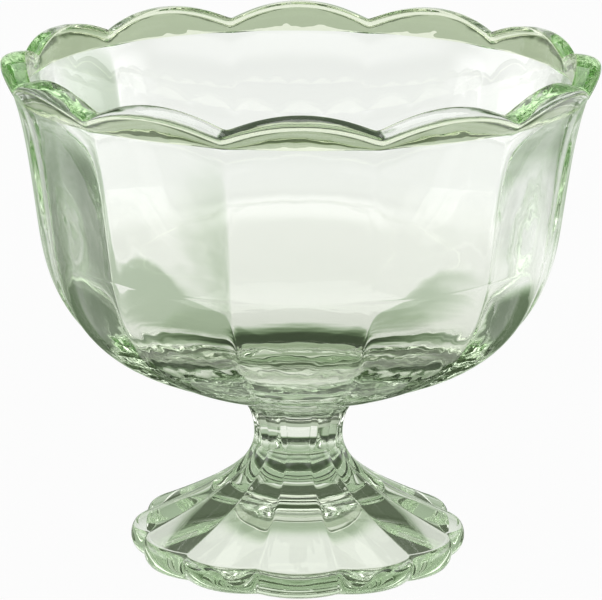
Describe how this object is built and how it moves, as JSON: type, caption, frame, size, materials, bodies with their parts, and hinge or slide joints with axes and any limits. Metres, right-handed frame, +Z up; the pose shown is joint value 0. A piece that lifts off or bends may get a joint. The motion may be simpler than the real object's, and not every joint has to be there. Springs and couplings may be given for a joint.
{
  "type": "parfait glass",
  "caption": "Footed dessert glass with a lobed bowl, a scalloped flared rim, a short waisted stem and a flared lobed foot.",
  "frame": {"origin": "centre of the face that the foot stands on", "axes": "+Z up along the axis of the glass, -Y through the middle of a lobe"},
  "size_m": [0.105, 0.105, 0.0906],
  "materials": {
    "green_glass": "clear pale green pressed glass, fire-polished"
  },
  "bodies": {
    "root": {"bowl": "green_glass", "stem": "green_glass", "foot": "green_glass"}
  },
  "joints": []
}
